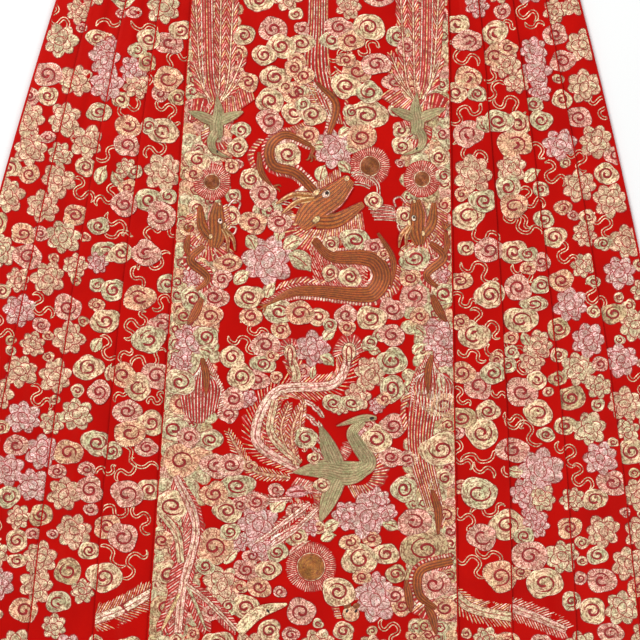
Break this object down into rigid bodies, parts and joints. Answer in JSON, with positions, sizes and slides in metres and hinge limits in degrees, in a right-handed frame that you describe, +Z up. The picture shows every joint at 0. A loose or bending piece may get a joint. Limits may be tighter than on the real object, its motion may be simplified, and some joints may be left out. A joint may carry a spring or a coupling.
{
  "type": "embroidered bridal skirt",
  "caption": "Red satin wrap skirt laid flat, with a flat front panel, knife pleats at the sides and a wide cotton waistband with frog closures; couched metal-thread embroidery all over.",
  "frame": {"origin": "middle of the flat underside of the laid skirt, on the ground, on the skirt's middle line", "axes": "+Z up from the surface it lies on, +Y towards the waist, +X to the right of a viewer looking down with the waist at the top"},
  "size_m": [0.8362, 0.93, 0.0161],
  "materials": {
    "red_satin": "red silk satin with a soft sheen, covered with couched gold, silver and pink metal threads",
    "cotton": "plain undyed cotton, matte",
    "frog_cloth": "red satin cord, soft sheen"
  },
  "bodies": {
    "root": {"front_panel": "red_satin", "back_panel": "red_satin", "pleats_right": "red_satin", "pleats_left": "red_satin", "waistband": "cotton", "frog_1_loop": "frog_cloth", "frog_1_tail": "frog_cloth", "frog_1_knot": "frog_cloth", "frog_2_loop": "frog_cloth", "frog_2_tail": "frog_cloth", "frog_2_knot": "frog_cloth"}
  },
  "joints": []
}
